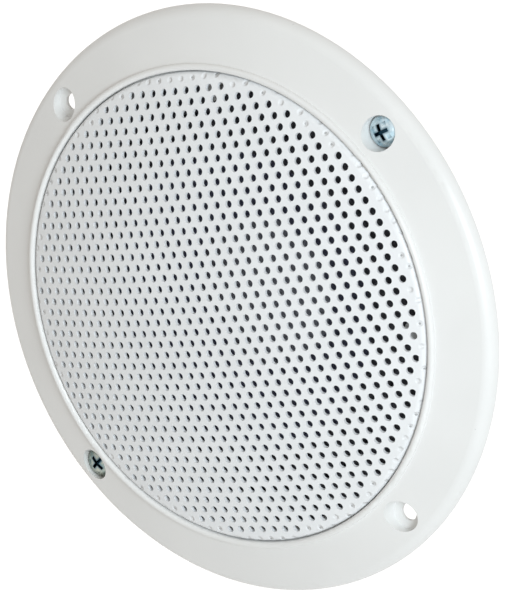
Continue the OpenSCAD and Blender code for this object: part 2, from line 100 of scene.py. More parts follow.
# Fine patterns: the winding's wire, the cloth's threads and the plates' turning marks
WIRE_STEP = 0.28 * MM
CLOTH_THREADS = 260.0
THREAD_STEP = 0.55 * MM
TURNING_STEP = 0.35 * MM

# How finely the soft pieces are divided
SURROUND_STEPS = 192
ROLL_STEPS = 24
SPIDER_STEPS = 144
WAVE_STEPS = 20
LEAD_STEPS = 72
STRAND_SIDES = 8
DROP_ROWS = 10
DROP_SIDES = 16

# A lead's strands: how many lie round the middle one, how often they go round it, and their
# radius and distance from the middle as shares of the lead's radius
OUTER_STRANDS = 6
LAY_TURNS = 6
STRAND_RADIUS = 0.36
STRAND_OFFSET = 0.62

# Solder and glue, as shares of the lead's radius: their size and how far their middle lies
# from the lead's end
SOLDER_SIZE, SOLDER_BACK = 1.9, 0.5
GLUE_SIZE, GLUE_BACK = 2.4, 0.9

# Lamps: place, width and height, and colour
KEY_PLACE, KEY_SIZE, KEY_COLOUR = (1.46, -1.03, 0.3), (0.6, 0.6), (0.85, 0.94, 1.0)
FILL_PLACE, FILL_SIZE, FILL_COLOUR = (-0.3, -0.6, 1.4), (1.2, 1.2), (0.95, 0.98, 1.0)

# Surroundings: colour of the light from all round, and the floor's colour, glow and reach
SKY_COLOUR = (1.0, 0.94, 0.86, 1.0)
WHITE = (1.0, 1.0, 1.0, 1.0)
FLOOR_COLOUR = (0.78, 0.78, 0.78)
FLOOR_GLOW = 0.8
FLOOR_REACH = 3.0


# Helpers for the materials

class Finish:
    """A material in the making, with its main shader and the place on the object."""

    def __init__(self, name, colour, roughness, metallic=0.0):
        self.material = bpy.data.materials.new(name)
        self.material.use_nodes = True
        self.tree = self.material.node_tree
        self.tree.nodes.clear()
        self.output = self.node("ShaderNodeOutputMaterial")
        self.shader = self.node("ShaderNodeBsdfPrincipled")
        self.link(self.shader.outputs["BSDF"], self.output.inputs["Surface"])
        self.colour = tuple(colour)[:3]
        self.shader.inputs["Base Color"].default_value = (*self.colour, 1.0)
        self.shader.inputs["Roughness"].default_value = roughness
        self.shader.inputs["Metallic"].default_value = metallic
        self.place = self.node("ShaderNodeTexCoord").outputs["Object"]
        self.coat = None
        self.normal = None

    def node(self, kind, **settings):
        """Adds a shader node and sets what is given by name."""
        made = self.tree.nodes.new(kind)
        for key, value in settings.items():
            setattr(made, key, value)
        return made

    def link(self, source, target):
        """Joins an output to an input."""
        self.tree.links.new(source, target)

    def maths(self, operation, first, second=None, third=None):
        """One step of maths on numbers or outputs."""
        made = self.node("ShaderNodeMath", operation=operation)
        for socket, value in zip(made.inputs, (first, second, third)):
            if value is None:
                continue
            if isinstance(value, (int, float)):
                socket.default_value = value
            else:
                self.link(value, socket)
        return made.outputs[0]

    def products(self, first, second, third, fourth):
        """First times second, plus third times fourth."""
        return self.maths("ADD", self.maths("MULTIPLY", first, second),
                          self.maths("MULTIPLY", third, fourth))

    def axes(self):
        """The place on the object as its three coordinates."""
        parts = self.node("ShaderNodeSeparateXYZ")
        self.link(self.place, parts.inputs[0])
        return parts.outputs

    def off_axis(self):
        """Distance from the loudspeaker's axis."""
        x, _, z = self.axes()
        return self.maths("SQRT", self.products(x, x, z, z))

    def turn(self):
        """Turn about the loudspeaker's axis."""
        x, _, z = self.axes()
        return self.maths("ARCTAN2", z, x)

    def stretched(self, scale):
        """The place on the object, scaled by three factors."""
        made = self.node("ShaderNodeMapping")
        made.inputs["Scale"].default_value = scale
        self.link(self.place, made.inputs["Vector"])
        return made.outputs[0]

    def noise(self, size, detail=3.0, place=None, distortion=0.0):
        """Noise whose features are about the given size in metres."""
        made = self.node("ShaderNodeTexNoise")
        made.inputs["Scale"].default_value = 1.0 / size
        made.inputs["Detail"].default_value = detail
        made.inputs["Distortion"].default_value = distortion
        self.link(place or self.place, made.inputs["Vector"])
        return made.outputs["Fac"]

    def cells(self, size):
        """Distance from the middles of cells of about the given size in metres."""
        made = self.node("ShaderNodeTexVoronoi")
        made.inputs["Scale"].default_value = 1.0 / size
        self.link(self.place, made.inputs["Vector"])
        return made.outputs["Distance"]

    def punch_marks(self):
        """Dents where the punching pattern runs on past its last holes, and pinholes in some."""
        across, _, up = self.axes()
        x = self.maths("SUBTRACT", across, PUNCH_SHIFT[0])
        z = self.maths("SUBTRACT", up, PUNCH_SHIFT[1])
        cosine, sine = math.cos(PUNCH_TURN), math.sin(PUNCH_TURN)
        step = self.maths("PINGPONG", self.products(x, cosine, z, sine), PUNCH_STEP / 2)
        row = self.maths("PINGPONG", self.products(z, cosine, x, -sine), PUNCH_ROW)
        # Every other row starts half a step on, so the nearest mark is one of two
        step_on = self.maths("SUBTRACT", PUNCH_STEP / 2, step)
        row_on = self.maths("SUBTRACT", PUNCH_ROW, row)
        nearest = self.maths("MINIMUM", self.products(step, step, row, row),
                             self.products(step_on, step_on, row_on, row_on))
        off = self.maths("DIVIDE", self.maths("SQRT", nearest), PUNCH_RADIUS)
        dent = self.ramp(off, [(0.35, 1.0), (0.85, 0.0)])
        some = self.ramp(self.noise(9 * MM, 1.0), [(0.5, 0.0), (0.56, 0.8)])
        pinhole = self.maths("MULTIPLY", self.ramp(off, [(0.22, 1.0), (0.38, 0.0)]), some)
        return dent, pinhole

    def ramp(self, value, stops):
        """A ramp of (position, grey or colour) stops over a value."""
        made = self.node("ShaderNodeValToRGB")
        elements = made.color_ramp.elements
        while len(elements) < len(stops):
            elements.new(1.0)
        for element, (position, colour) in zip(elements, stops):
            element.position = position
            if isinstance(colour, (int, float)):
                colour = (colour, colour, colour)
            element.color = (*colour[:3], 1.0)
        self.link(value, made.inputs[0])
        return made.outputs["Color"]

    def tint(self, value, low, high):
        """Colours the surface between two multiples of its colour."""
        self.paint(self.ramp(value, [(0.3, self.shade(low)), (0.7, self.shade(high))]))

    def shade(self, factor):
        """The finish's own colour, darker or lighter by a factor."""
        return tuple(min(1.0, part * factor) for part in self.colour)

    def paint(self, colour):
        """Colours the surface, and keeps the colour for what is laid over it."""
        self.coat = colour
        self.link(colour, self.shader.inputs["Base Color"])

    def mix(self, factor, first, second):
        """Two colours, mixed by a factor."""
        made = self.node("ShaderNodeMix", data_type="RGBA")
        # The node has sockets of the same names for numbers and vectors: these are the colours'
        sockets = (made.inputs[0], made.inputs[6], made.inputs[7])
        for socket, value in zip(sockets, (factor, first, second)):
            if isinstance(value, tuple):
                socket.default_value = (*value[:3], 1.0)
            elif isinstance(value, (int, float)):
                socket.default_value = value
            else:
                self.link(value, socket)
        return made.outputs[2]

    def roughness(self, value, low, high):
        """Roughness between two limits, by a value from 0 to 1."""
        made = self.node("ShaderNodeMapRange")
        made.inputs["To Min"].default_value = low
        made.inputs["To Max"].default_value = high
        self.link(value, made.inputs["Value"])
        self.link(made.outputs[0], self.shader.inputs["Roughness"])

    def bump(self, height, depth, strength=1.0):
        """Relief of the given depth in metres, on top of the relief so far."""
        made = self.node("ShaderNodeBump")
        made.inputs["Distance"].default_value = depth
        made.inputs["Strength"].default_value = strength
        self.link(height, made.inputs["Height"])
        if self.normal:
            self.link(self.normal, made.inputs["Normal"])
        self.normal = made.outputs["Normal"]
        self.link(self.normal, self.shader.inputs["Normal"])


def wear(names, finish):
    """Gives CAD nodes a finish."""
    for name in names:
        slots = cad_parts[name].data.materials
        slots.clear()
        slots.append(finish.material)


# Helpers for the shapes

def surface(name, points, faces, finish, crease=35.0):
    """A piece from points and faces, smooth but for edges sharper than the crease angle."""
    shape = bmesh.new()
    corners = [shape.verts.new(point) for point in points]
    for face in faces:
        shape.faces.new([corners[i] for i in face])
    bmesh.ops.recalc_face_normals(shape, faces=shape.faces)
    mesh = bpy.data.meshes.new(name)
    shape.to_mesh(mesh)
    shape.free()
    mesh.shade_smooth()
    mesh.set_sharp_from_angle(angle=math.radians(crease))
    mesh.materials.append(finish.material)
    made = bpy.data.objects.new(name, mesh)
    bpy.context.scene.collection.objects.link(made)
    return made


def turned(name, outline, steps, finish):
    """Turns a closed outline of (radius, depth) points round the loudspeaker's axis."""
    count = len(outline)
    turns = [math.tau * step / steps for step in range(steps)]
    points = [(radius * math.cos(turn), depth, radius * math.sin(turn))
              for turn in turns for radius, depth in outline]
    faces = []
    for step in range(steps):
        here, there = step * count, (step + 1) % steps * count
        for i in range(count):
            after = (i + 1) % count
            faces.append((here + i, here + after, there + after, there + i))
    return surface(name, points, faces, finish)


def skin(first, rows, sides):
    """Faces round rows of points, the first point given by its number, closed at both ends."""
    faces = []
    for row in range(rows - 1):
        base = first + row * sides
        for side in range(sides):
            after = (side + 1) % sides
            faces.append((base + side, base + after, base + sides + after, base + sides + side))
    last = first + (rows - 1) * sides
    faces.append(tuple(first + side for side in range(sides)))
    faces.append(tuple(last + side for side in range(sides)))
    return faces


def tubes(name, paths, radius, sides, finish):
    """Round tubes of one radius along paths, with their ends closed."""
    points, faces = [], []
    for path in paths:
        faces += skin(len(points), len(path), sides)
        across = None
        for i, place in enumerate(path):
            along = (path[min(i + 1, len(path) - 1)] - path[max(i - 1, 0)]).normalized()
            if across is None:
                across = along.orthogonal().normalized()
            across = (across - along * across.dot(along)).normalized()
            other = along.cross(across)
            for side in range(sides):
                turn = math.tau * side / sides
                points.append(place + radius * (math.cos(turn) * across + math.sin(turn) * other))
    return surface(name, points, faces, finish, crease=50.0)


def eased(value, start, end):
    """0 at the start and 1 at the end, with a soft turn between them."""
    share = min(1.0, max(0.0, (value - start) / (end - start)))
    return share * share * (3.0 - 2.0 * share)


def follows_cone(made, share):
    """Bakes a piece's place into its points and works out each point's share of the cone's travel,
    given by share; nothing uses these shares, so the piece does not bend.
    """
    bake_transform(made)
    # Each point gets its own share, as a blend along a straight line would not fit; nothing reads
    # the shares
    weights = [share(vertex.co) for vertex in made.data.vertices]


def off_axis(place):
    """Distance of a point from the loudspeaker's axis."""
    return math.hypot(place.x, place.z)


# Finishes, one function each

def moulded_plastic(colour):
    """Glossy white moulding: faint orange peel, slow tone changes and a few specks."""
    made = Finish("moulded_plastic", colour, 0.34)
    made.shader.inputs["IOR"].default_value = 1.5
    base = made.ramp(made.noise(30 * MM, 2.0), [(0.35, made.shade(0.97)), (0.65, made.colour)])
    speck = made.ramp(made.cells(9 * MM), [(0.012, 1.0), (0.02, 0.0)])
    made.paint(made.mix(speck, base, made.shade(0.72)))
    made.roughness(made.noise(3 * MM, 4.0), 0.28, 0.42)
    made.bump(made.noise(1.1 * MM, 3.0), 0.03 * MM, 0.5)
    made.bump(made.noise(14 * MM, 1.0), 0.25 * MM, 0.3)
    return made


def powder_coat(colour):
    """Thick white coating on sheet metal, with a fine orange peel and punch marks."""
    made = Finish("powder_coat", colour, 0.45)
    made.tint(made.noise(12 * MM, 3.0), 0.965, 1.0)
    made.roughness(made.noise(2 * MM, 3.0), 0.38, 0.55)
    made.bump(made.noise(0.55 * MM, 3.0), 0.035 * MM, 0.7)
    dent, pinhole = made.punch_marks()
    made.paint(made.mix(pinhole, made.coat, made.shade(0.35)))
    made.bump(dent, -PUNCH_DEPTH)
    return made


def zinc_plate(name, colour):
    """Bright zinc: bluish, with small clouds and fine scratches."""
    made = Finish(name, colour, 0.3, metallic=1.0)
    cloud = made.noise(1.6 * MM, 4.0, distortion=0.6)
    cool = tuple(part * factor for part, factor in zip(made.colour, (0.62, 0.78, 0.86)))
    made.paint(made.ramp(cloud, [(0.3, cool), (0.55, made.colour), (0.8, made.shade(1.25))]))
    made.roughness(made.noise(0.7 * MM, 4.0), 0.18, 0.45)
    scratch = made.noise(1.0, 2.0, place=made.stretched((9000.0, 900.0, 1600.0)))
    made.bump(scratch, 0.02 * MM, 0.5)
    return made


def driven_zinc(name, colour, middle, top, turn):
    """Zinc on a screw that was driven home, with painted shade on the flanks of its cross recess
    and darker painted shade deep in it.
    """
    made = zinc_plate(name, colour)
    x, y, z = made.axes()
    aside = made.maths("SUBTRACT", x, middle.x)
    above = made.maths("SUBTRACT", z, middle.z)
    cosine, sine = math.cos(turn), math.sin(turn)
    one = made.maths("ABSOLUTE", made.products(aside, cosine, above, sine))
    other = made.maths("ABSOLUTE", made.products(above, cosine, aside, -sine))
    slot = made.maths("DIVIDE", made.maths("MINIMUM", one, other), CROSS_FLANK)
    reach = made.maths("DIVIDE", made.maths("MAXIMUM", one, other), HEAD_RADIUS)
    depth = made.maths("DIVIDE", made.maths("SUBTRACT", y, top), HEAD_DEPTH)

    head = made.ramp(depth, [(0.5, 1.0), (0.6, 0.0)])
    flank = made.maths("MULTIPLY", made.ramp(slot, [(0.22, 1.0), (0.52, 0.0)]),
                       made.ramp(reach, [(0.50, 1.0), (0.66, 0.0)]))
    # Painted shade on the flanks of the cross recess
    flank_shade = made.maths("MULTIPLY", made.maths("MULTIPLY", flank, head), 0.85)
    made.paint(made.mix(flank_shade, made.coat, FLANK_SHADE_COLOUR))

    # Darker painted shade deep in the cross recess
    deep = made.ramp(depth, [(0.11, 0.0), (0.27, 1.0)])
    recess_shade = made.maths("MULTIPLY", deep, made.ramp(reach, [(0.55, 1.0), (0.57, 0.0)]))
    made.paint(made.mix(made.maths("MULTIPLY", recess_shade, head), made.coat, RECESS_SHADE_COLOUR))
    return made


def closed_foam(colour):
    """Dark sealing foam with small cells."""
    made = Finish("closed_foam", colour, 0.92)
    made.tint(made.noise(0.8 * MM, 2.0), 0.7, 1.4)
    made.bump(made.cells(0.45 * MM), 0.15 * MM, 0.9)
    return made


def soft_rubber(colour):
    """Matt black rubber with mould dust in its pores."""
    made = Finish("soft_rubber", colour, 0.6)
    made.tint(made.noise(3 * MM, 5.0), 0.8, 1.35)
    made.roughness(made.noise(1.4 * MM, 3.0), 0.5, 0.72)
    made.bump(made.noise(0.3 * MM, 2.0), 0.015 * MM, 0.6)
    return made


def coated_pulp(colour):
    """Dark coated paper pulp: short fibres lie every way in it."""
    made = Finish("coated_pulp", colour, 0.68)
    fibre = made.noise(0.9 * MM, 6.0, distortion=2.2)
    made.tint(fibre, 0.65, 1.6)
    made.bump(fibre, 0.09 * MM, 0.8)
    return made


def pressed_film(colour):
    """Metallised film of the dust cap, with a faint pressed grain."""
    made = Finish("pressed_film", colour, 0.42, metallic=0.25)
    made.tint(made.noise(4 * MM, 4.0), 0.9, 1.08)
    made.bump(made.noise(0.5 * MM, 2.0), 0.02 * MM, 0.6)
    return made


def wound_copper(colour):
    """Enamelled wire wound in close turns along the loudspeaker's axis."""
    made = Finish("wound_copper", colour, 0.3, metallic=1.0)
    _, depth, _ = made.axes()
    wires = made.maths("SINE", made.maths("MULTIPLY", depth, math.tau / WIRE_STEP))
    made.bump(wires, 0.05 * MM, 0.9)
    made.tint(made.noise(2 * MM, 3.0), 0.8, 1.15)
    return made


def rolled_film(colour):
    """Amber film of the coil former, with the lines it was wrapped along."""
    made = Finish("rolled_film", colour, 0.38)
    made.tint(made.noise(1.0, 2.0, place=made.stretched((300.0, 2500.0, 300.0))), 0.85, 1.12)
    made.bump(made.noise(0.6 * MM, 2.0), 0.01 * MM, 0.5)
    return made


def woven_cloth(colour):
    """Resin-treated cloth: threads run round and outwards."""
    made = Finish("woven_cloth", colour, 0.85)
    across = made.maths("SINE", made.maths("MULTIPLY", made.turn(), CLOTH_THREADS))
    outwards = made.maths("MULTIPLY", made.off_axis(), math.tau / THREAD_STEP)
    weave = made.maths("MULTIPLY", across, made.maths("SINE", outwards))
    made.tint(made.maths("MULTIPLY_ADD", weave, 0.5, 0.5), 0.75, 1.1)
    made.bump(weave, 0.06 * MM, 0.8)
    return made


def black_paint(colour):
    """Satin black stove paint on pressed steel."""
    made = Finish("black_paint", colour, 0.42)
    made.tint(made.noise(9 * MM, 5.0), 0.8, 1.3)
    made.roughness(made.noise(2.5 * MM, 4.0), 0.32, 0.55)
    made.bump(made.noise(0.5 * MM, 3.0), 0.02 * MM, 0.8)
    return made


def turned_steel(colour):
    """Zinc-plated steel plates with turning marks round their axis."""
    made = Finish("turned_steel", colour, 0.32, metallic=1.0)
    rings = made.node("ShaderNodeTexNoise", noise_dimensions="1D")
    rings.inputs["Scale"].default_value = 1.0 / TURNING_STEP
    rings.inputs["Detail"].default_value = 4.0
    made.link(made.off_axis(), rings.inputs["W"])
    made.bump(rings.outputs["Fac"], 0.03 * MM)
    made.tint(made.noise(14 * MM, 4.0, distortion=0.3), 0.88, 1.1)
    made.roughness(made.noise(4 * MM, 4.0), 0.24, 0.46)
    return made


def sintered_ferrite(colour):
    """Ground dark grey ferrite with a fine grain and small chips of tone."""
    made = Finish("sintered_ferrite", colour, 0.55)
    made.tint(made.noise(1.8 * MM, 6.0), 0.7, 1.5)
    made.bump(made.noise(0.25 * MM, 4.0), 0.03 * MM, 0.9)
    return made


def paper_laminate(colour):
    """Brown laminated board: faint fibre streaks run along it."""
    made = Finish("paper_laminate", colour, 0.46)
    streak = made.noise(1.0, 4.0, place=made.stretched((120.0, 1400.0, 1400.0)))
    made.tint(streak, 0.72, 1.25)
    made.bump(streak, 0.02 * MM, 0.6)
    return made


def sheet_metal(name, colour):
    """Stamped terminal metal with a drawn grain and dull patches."""
    made = Finish(name, colour, 0.28, metallic=1.0)
    grain = made.noise(1.0, 3.0, place=made.stretched((5000.0, 300.0, 5000.0)))
    made.tint(made.noise(2.2 * MM, 4.0), 0.8, 1.1)
    made.roughness(grain, 0.2, 0.42)
    made.bump(grain, 0.008 * MM, 0.6)
    return made


def braided_tinsel(colour):
    """Copper tinsel braid of the flexible leads."""
    made = Finish("braided_tinsel", colour, 0.42, metallic=0.8)
    made.tint(made.noise(0.35 * MM, 2.0), 0.6, 1.25)
    made.bump(made.cells(0.3 * MM), 0.08 * MM, 0.9)
    return made


# Sizes and colours that a user would change

def colour_choice(title, text, value):
    """A colour that can be set in the panel."""
    return bpy.props.FloatVectorProperty(
        name=title, description=text, subtype="COLOR", size=3, min=0.0, max=1.0, default=value)


class LoudspeakerFinishes(bpy.types.PropertyGroup):
    """Colours of the loudspeaker's pieces."""

    bezel: colour_choice("Bezel", "Colour of the moulded bezel", (0.84, 0.84, 0.83))
    grille: colour_choice("Grille", "Colour of the grille's coating", (0.87, 0.885, 0.90))
    zinc: colour_choice("Screws", "Colour of the zinc-plated screws", (0.58, 0.68, 0.72))
    # The bottom left screw is given a darker, greener zinc colour than the top right one
    darker_zinc: colour_choice(
        "Darker screw", "Colour of the screw at the bottom left", (0.36, 0.38, 0.33))
    foam: colour_choice("Foam", "Colour of the sealing ring", (0.05, 0.05, 0.05))
    rubber: colour_choice("Rubber", "Colour of the surround and its ring", (0.05, 0.05, 0.062))
    pulp: colour_choice("Cone", "Colour of the cone", (0.075, 0.08, 0.13))
    cap: colour_choice("Dust cap", "Colour of the dust cap", (0.24, 0.25, 0.29))
    copper: colour_choice("Coil", "Colour of the winding", (0.80, 0.40, 0.20))
    film: colour_choice("Former", "Colour of the coil former", (0.45, 0.27, 0.09))
    cloth: colour_choice("Spider", "Colour of the centring cloth", (0.55, 0.38, 0.15))
    paint: colour_choice("Frame", "Colour of the driver's frame", (0.022, 0.022, 0.024))
    steel: colour_choice("Plates", "Colour of the motor's plates", (0.40, 0.405, 0.40))
    ferrite: colour_choice("Magnet", "Colour of the magnet", (0.045, 0.046, 0.05))
    laminate: colour_choice("Board", "Colour of the terminal board", (0.22, 0.10, 0.045))
    brass: colour_choice("Positive terminal", "Colour of the wide terminal", (0.80, 0.60, 0.25))
    tin: colour_choice("Negative terminal", "Colour of the narrow terminal", (0.74, 0.75, 0.75))
    tinsel: colour_choice("Leads", "Colour of the flexible leads", (0.62, 0.33, 0.18))


def length(title, text, value, **limits):
    """A length that can be set in the panel, with its value in millimetres."""
    return bpy.props.FloatProperty(
        name=title, description=text, subtype="DISTANCE", unit="LENGTH", default=value * MM,
        **limits)


def amount(title, text, value, **limits):
    """A number that can be set in the panel."""
    return bpy.props.FloatProperty(name=title, description=text, default=value, **limits)


def place_choice(title, text, value, **kind):
    """A place or turn that can be set in the panel."""
    return bpy.props.FloatVectorProperty(
        name=title, description=text, size=len(value), default=value, **kind)


class LoudspeakerSizes(bpy.types.PropertyGroup):
    """Sizes of the soft pieces that are built here."""

    surround_sheet: length("Surround sheet", "Thickness of the rubber surround", 0.6, min=0.0003)
    surround_glue: length("Surround glue", "Width that is glued to the cone's rim", 2.7, min=0.001)
    spider_sheet: length("Spider sheet", "Thickness of the centring cloth", 0.5, min=0.0002)
    spider_glue: length(
        "Spider glue", "Glue line between the cloth and the coil former", 0.1, min=0.0)
    spider_sleeve: length(
        "Spider sleeve", "Height of the cloth's sleeve on the former", 2.0, min=0.001)
    spider_wave: length("Wave height", "Height of a wave above its middle", 0.8, min=0.0002)
    spider_waves: bpy.props.IntProperty(
        name="Waves", description="Number of full waves in the cloth", default=4, min=2, max=8)
    spider_waves_from: length("Waves from", "Radius at which the waves start", 16.2, min=0.014)
    spider_waves_to: length("Waves to", "Radius at which the waves end", 32.9, min=0.02)
    lead_sag: length("Lead sag", "How deep a lead sags", 4.5, min=0.001)
    lead_start: place_choice(
        "Lead start", "Depth and height at which a lead leaves its terminal",
        (0.0123, -0.0521), unit="LENGTH")
    lead_end: place_choice(
        "Lead end", "Depth and height at which a lead meets the cone",
        (0.00808, -0.02722), unit="LENGTH")


class LoudspeakerStage(bpy.types.PropertyGroup):
    """Camera, lamps and floor of the picture."""

    camera_place: place_choice(
        "Camera", "Where the camera stands", (0.5235, -0.6866, 0.2394),
        subtype="TRANSLATION", unit="LENGTH")
    camera_turn: place_choice(
        "Camera turn", "How the camera is turned about each axis", (1.29985, 0.06787, 0.62864),
        subtype="EULER", unit="ROTATION")
    lens: amount("Lens", "Focal length in millimetres on a 36 mm picture", 203.45, min=20.0)
    floor_drop: amount(
        "Floor", "How far the floor lies below the bezel", 0.35, min=0.0, unit="LENGTH")
    key_power: amount(
        "Key lamp", "Power of the large lamp on the right", 21.0, min=0.0, unit="POWER")
    fill_power: amount(
        "Fill lamp", "Power of the soft lamp from above", 1.5, min=0.0, unit="POWER")
    sky: amount("Surrounding light", "Strength of the light from all round", 0.46, min=0.0)


# Operators: one for each group of pieces

class FinishBezel(bpy.types.Operator):
    """Finish the moulded bezel and its foam ring"""
    bl_idname = "loudspeaker.finish_bezel"
    bl_label = "Bezel"

    def execute(self, context):
        colours = context.scene.loudspeaker_finishes
        wear(["bezel"], moulded_plastic(colours.bezel))
        wear(["mounting_gasket"], closed_foam(colours.foam))
        return {"FINISHED"}


class FinishGrille(bpy.types.Operator):
    """Finish the domed perforated grille"""
    bl_idname = "loudspeaker.finish_grille"
    bl_label = "Grille"

    def execute(self, context):
        wear(["grille"], powder_coat(context.scene.loudspeaker_finishes.grille))
        return {"FINISHED"}


class FinishScrews(bpy.types.Operator):
    """Finish the mounting screws, the driver's screws and the rivets"""
    bl_idname = "loudspeaker.finish_screws"
    bl_label = "Screws and rivets"

    def execute(self, context):
        colours = context.scene.loudspeaker_finishes
        wear(["basket_screws", "plate_rivets"], zinc_plate("zinc_plate", colours.zinc))
        for name, colour, turn in (
                ("screw_top_right", colours.zinc, CROSS_TURN_TOP_RIGHT),
                ("screw_bottom_left", colours.darker_zinc, CROSS_TURN_BOTTOM_LEFT)):
            low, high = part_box(name)
            wear([name], driven_zinc(name + "_zinc", colour, (low + high) / 2, low.y, turn))
        return {"FINISHED"}


class FinishCone(bpy.types.Operator):
    """Finish the cone, its dust cap and the coil"""
    bl_idname = "loudspeaker.finish_cone"
    bl_label = "Cone and coil"

    def execute(self, context):
        colours = context.scene.loudspeaker_finishes
        wear(["cone"], coated_pulp(colours.pulp))
        wear(["dust_cap"], pressed_film(colours.cap))
        wear(["voice_coil"], wound_copper(colours.copper))
        wear(["coil_former"], rolled_film(colours.film))
        return {"FINISHED"}


class BuildSurround(bpy.types.Operator):
    """Build the rubber half roll between the cone and the frame, and finish its clamping ring"""
    bl_idname = "loudspeaker.build_surround"
    bl_label = "Surround"

    def execute(self, context):
        sizes = context.scene.loudspeaker_sizes
        rubber = soft_rubber(context.scene.loudspeaker_finishes.rubber)
        wear(["cone_gasket"], rubber)

        low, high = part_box("surround")
        cone_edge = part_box("cone")[1].x
        half = sizes.surround_sheet / 2
        back, front = high.y, high.y - sizes.surround_sheet
        roll = back - low.y - half
        middle = cone_edge + roll
        inner = cone_edge - sizes.surround_glue

        def arc(radius, depth):
            """Half roll of a radius, from the cone's side to the frame's, down to a depth."""
            foot = math.asin((back - depth) / radius)
            turns = [math.pi - foot - (math.pi - 2 * foot) * i / ROLL_STEPS
                     for i in range(ROLL_STEPS + 1)]
            return [(middle + radius * math.cos(turn), back - radius * math.sin(turn))
                    for turn in turns]

        outline = [(inner, front), *arc(roll + half, front), (high.x, front),
                   (high.x, back), *reversed(arc(roll - half, back)), (inner, back)]
        surround = turned("rubber_surround", outline, SURROUND_STEPS, rubber)
        follows_cone(surround, lambda place: 1.0 - eased(off_axis(place), cone_edge, middle + roll))
        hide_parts("surround")
        return {"FINISHED"}


class BuildSpider(bpy.types.Operator):
    """Build the corrugated centring cloth between the coil former and the frame"""
    bl_idname = "loudspeaker.build_spider"
    bl_label = "Spider"

    def execute(self, context):
        sizes = context.scene.loudspeaker_sizes
        low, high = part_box("spider")
        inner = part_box("coil_former")[1].x + sizes.spider_glue
        sheet = sizes.spider_sheet
        front = low.y + sizes.spider_sleeve
        start, end = sizes.spider_waves_from, sizes.spider_waves_to
        steps = WAVE_STEPS * sizes.spider_waves
        # The sleeve on the former, and its turn into the flat of the cloth
        path = [
            Vector((inner + sheet, low.y)),
            Vector((inner + sheet, front - sheet)),
            Vector((inner + 1.4 * sheet, front - 0.2 * sheet)),
            Vector((inner + 2.2 * sheet, front)),
        ]
        for i in range(steps + 1):
            swing = math.sin(math.tau * sizes.spider_waves * i / steps)
            depth = front - sizes.spider_wave * swing
            path.append(Vector((start + (end - start) * i / steps, depth)))
        path.append(Vector((high.x, front)))
        behind = []
        for i, place in enumerate(path):
            along = (path[min(i + 1, len(path) - 1)] - path[max(i - 1, 0)]).normalized()
            behind.append(place + sheet * Vector((-along.y, along.x)))
        outline = [tuple(place) for place in path + behind[::-1]]

        cloth = woven_cloth(context.scene.loudspeaker_finishes.cloth)
        spider = turned("cloth_spider", outline, SPIDER_STEPS, cloth)
        follows_cone(spider, lambda place: 1.0 - eased(off_axis(place), start, end))
        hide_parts("spider")
        return {"FINISHED"}


class BuildLeads(bpy.types.Operator):
    """Build the twisted flexible leads, with solder at the terminals and glue on the cone"""
    bl_idname = "loudspeaker.build_leads"
    bl_label = "Leads"

    def execute(self, context):
        sizes = context.scene.loudspeaker_sizes
        colours = context.scene.loudspeaker_finishes
        tinsel = braided_tinsel(colours.tinsel)
        solder = sheet_metal("dull_solder", colours.tin)
        glue = soft_rubber(colours.rubber)
        for name in ("lead_positive", "lead_negative"):
            low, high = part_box(name)
            x = (low.x + high.x) / 2
            radius = (high.x - low.x) / 2
            start = Vector((x, *sizes.lead_start))
            end = Vector((x, *sizes.lead_end))
            paths = self.strands(start, end, sizes.lead_sag, radius)
            lead = tubes("twisted_" + name, paths, STRAND_RADIUS * radius, STRAND_SIDES, tinsel)
            follows_cone(lead, lambda place: eased(place.z, start.z, end.z))
            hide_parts(name)

            along = Vector((0.0, 0.3, 1.0)).normalized()
            middle = start - SOLDER_BACK * radius * along
            drop = self.drop("solder_" + name, middle, along, SOLDER_SIZE * radius, solder)
            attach(drop, CHASSIS)
            outwards = Vector((0.0, -1.0, 0.4)).normalized()
            middle = end - Vector((0.0, GLUE_BACK * radius, 0.0))
            dab = self.drop("glue_" + name, middle, outwards, GLUE_SIZE * radius, glue)
            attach(dab, DIAPHRAGM)
        return {"FINISHED"}

    def strands(self, start, end, sag, radius):
        """Strands laid round a middle one, along an arc that sags towards the back."""
        chord = end - start
        back = Vector((0.0, chord.z, -chord.y)).normalized()
        ahead = chord.normalized()
        aside = Vector((1.0, 0.0, 0.0))
        bend = (chord.length ** 2 / 4 + sag * sag) / (2 * sag)
        half = math.asin(chord.length / 2 / bend)
        centre = (start + end) / 2 - (bend - sag) * back
        offset = STRAND_OFFSET * radius
        paths = []
        for strand in range(OUTER_STRANDS + 1):
            path = []
            for i in range(LEAD_STEPS + 1):
                turn = half * (2 * i / LEAD_STEPS - 1)
                out = math.cos(turn) * back + math.sin(turn) * ahead
                place = centre + bend * out
                if strand:
                    twist = math.tau * (strand / OUTER_STRANDS + LAY_TURNS * i / LEAD_STEPS)
                    place = place + offset * (math.cos(twist) * out + math.sin(twist) * aside)
                path.append(place)
            paths.append(path)
        return paths

    def drop(self, name, middle, along, radius, finish):
        """A drop with an uneven skin, longer along one direction."""
        turn_to = Vector((0.0, 0.0, 1.0)).rotation_difference(along)
        points = []
        for row in range(DROP_ROWS + 1):
            lift = math.pi * (0.04 + 0.92 * row / DROP_ROWS)
            for side in range(DROP_SIDES):
                turn = math.tau * side / DROP_SIDES
                swell = radius * (1.0 + 0.06 * math.sin(3 * turn + 2 * lift)) * math.sin(lift)
                height = -1.25 * radius * math.cos(lift)
                flat = Vector((swell * math.cos(turn), swell * math.sin(turn), height))
                points.append(middle + turn_to @ flat)
        faces = skin(0, DROP_ROWS + 1, DROP_SIDES)
        return surface(name, points, faces, finish, crease=60.0)


class FinishMotor(bpy.types.Operator):
    """Finish the frame, the plates and the magnet"""
    bl_idname = "loudspeaker.finish_motor"
    bl_label = "Frame and motor"

    def execute(self, context):
        colours = context.scene.loudspeaker_finishes
        wear(["basket"], black_paint(colours.paint))
        wear(["top_plate", "yoke"], turned_steel(colours.steel))
        wear(["magnet"], sintered_ferrite(colours.ferrite))
        return {"FINISHED"}


